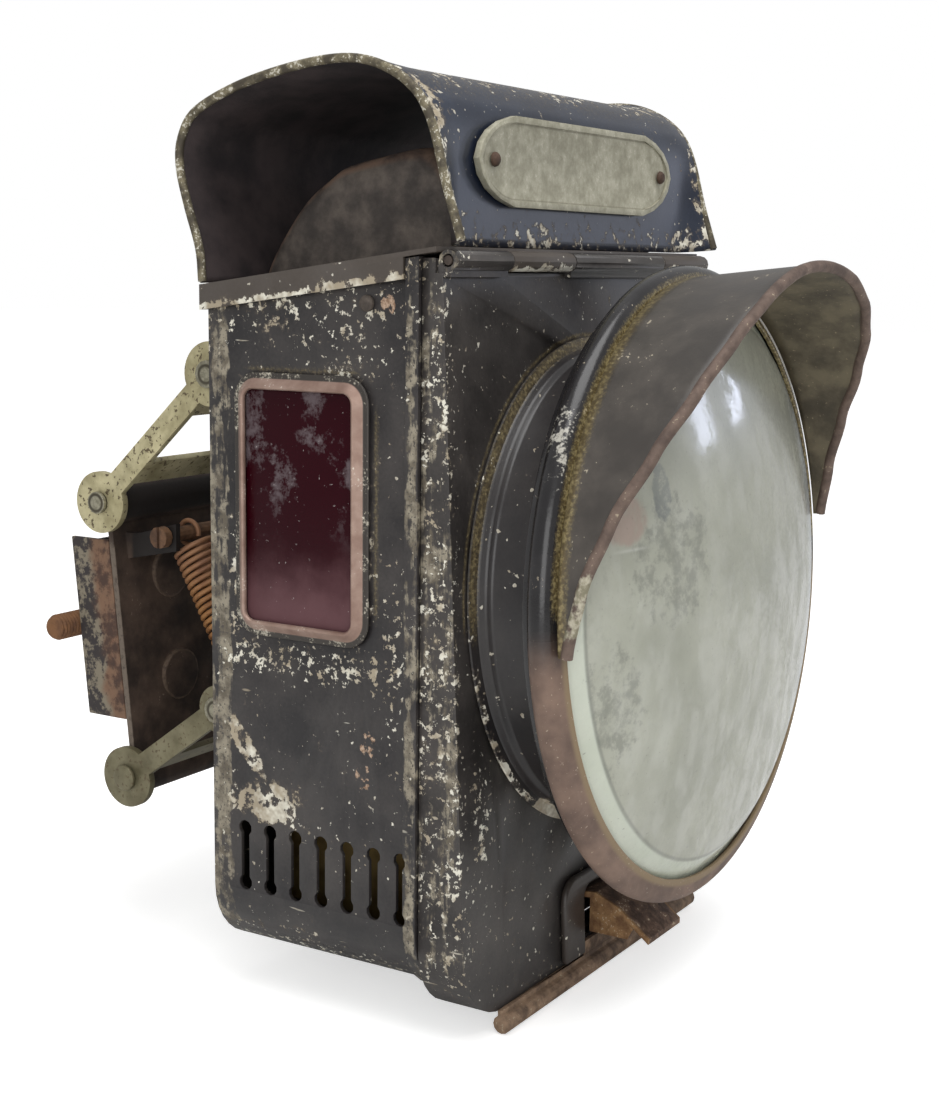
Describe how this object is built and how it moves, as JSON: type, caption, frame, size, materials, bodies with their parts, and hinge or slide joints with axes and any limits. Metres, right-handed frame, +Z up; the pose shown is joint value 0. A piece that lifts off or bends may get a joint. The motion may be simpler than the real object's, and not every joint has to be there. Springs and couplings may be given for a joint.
{
  "type": "bicycle hub lamp",
  "caption": "Old oil lamp for a bicycle hub: boxy case with hood, coloured side glasses, hinged front door with a visored round lens, and a sprung link bracket with a clamp.",
  "frame": {"origin": "under the middle of the lamp's bounding box, on the surface that the foot bead and the rear foot stand on", "axes": "+Z up, -Y towards the lens, -X towards the ruby side glass, +Y towards the hub bracket"},
  "size_m": [0.1256, 0.1574, 0.1822],
  "materials": {
    "black_japan": "chipped black enamel",
    "rusty_steel": "rusted, worn paint",
    "nickel_links": "dull nickel plate",
    "bare_metal": "tarnished",
    "ruby_glass": "dusty red glass",
    "green_glass": "dusty green glass",
    "clear_glass": "dusty clear glass",
    "copper_plate": "worn copper plate",
    "dull_brass": "dull brass",
    "silvered": "silvered sheet",
    "cotton_wick": "woven cotton",
    "rusty_spring": "orange rust"
  },
  "bodies": {
    "lamp_body": {"case_shell": "black_japan", "rear_foot": "black_japan", "cap_tray": "black_japan", "hinge_pin": "rusty_steel", "hood": "black_japan", "inner_dome": "rusty_steel", "side_frame_left": "copper_plate", "side_glass_left": "ruby_glass", "side_rivet_left": "bare_metal", "side_frame_right": "copper_plate", "side_glass_right": "green_glass", "side_rivet_right": "bare_metal", "nameplate": "bare_metal", "plate_rivet_left": "rusty_steel", "plate_rivet_right": "rusty_steel", "catch_bracket": "bare_metal", "fount": "dull_brass", "filler_cap": "dull_brass", "burner": "dull_brass", "wick": "cotton_wick", "reflector": "silvered", "wall_plate": "black_japan", "upper_front_pin": "bare_metal", "lower_front_pin": "bare_metal", "spring_left": "rusty_spring", "spring_right": "rusty_spring"},
    "door": {"door_pan": "black_japan", "foot_bead": "rusty_steel", "catch_frame": "black_japan", "barrel": "black_japan", "bezel": "rusty_steel", "lens": "clear_glass", "visor": "rusty_steel"},
    "catch_tab": {"catch": "rusty_steel"},
    "winder": {"wick_winder": "dull_brass"},
    "upper_arms": {"upper_link": "nickel_links", "upper_rear_pin": "bare_metal"},
    "clamp": {"rear_plate": "black_japan", "clamp_box": "black_japan", "clamp_bolt": "rusty_spring", "clamp_nut": "rusty_steel", "clamp_jaw": "rusty_steel", "anchor_rod": "rusty_steel", "lower_rear_pin": "bare_metal"},
    "lower_arms": {"lower_link": "nickel_links"}
  },
  "joints": [
    {"name": "door_hinge", "type": "hinge", "parent": "lamp_body", "child": "door", "pos_m": [0, -0.02865, 0.1461], "axis": [-1, 0, 0], "range_deg": [0, 75]},
    {"name": "catch_press", "type": "hinge", "parent": "lamp_body", "child": "catch_tab", "pos_m": [0, -0.00865, 0.0124], "axis": [1, 0, 0], "range_deg": [0, 3], "stiffness_Nm_per_rad": 0.3, "springref_deg": -2.86},
    {"name": "wick_turn", "type": "hinge", "parent": "lamp_body", "child": "winder", "pos_m": [0, -0.01565, 0.0418], "axis": [0, 1, 0], "continuous": true},
    {"name": "upper_swing", "type": "hinge", "parent": "lamp_body", "child": "upper_arms", "pos_m": [0, 0.03255, 0.1234], "axis": [1, 0, 0], "range_deg": [-10, 10], "stiffness_Nm_per_rad": 8, "deforming": ["spring_left", "spring_right"]},
    {"name": "clamp_swing", "type": "hinge", "parent": "upper_arms", "child": "clamp", "pos_m": [0, 0.06275, 0.0953], "axis": [1, 0, 0], "range_deg": [-11.5, 11.5]},
    {"name": "lower_swing", "type": "hinge", "parent": "lamp_body", "child": "lower_arms", "pos_m": [0, 0.03125, 0.055], "axis": [1, 0, 0], "range_deg": [-12.5, 12.5]}
  ],
  "couplings": [
    {"joint": "clamp_swing", "follows": "upper_swing", "ratio": -1.1},
    {"joint": "lower_swing", "follows": "upper_swing", "ratio": 1.212}
  ]
}
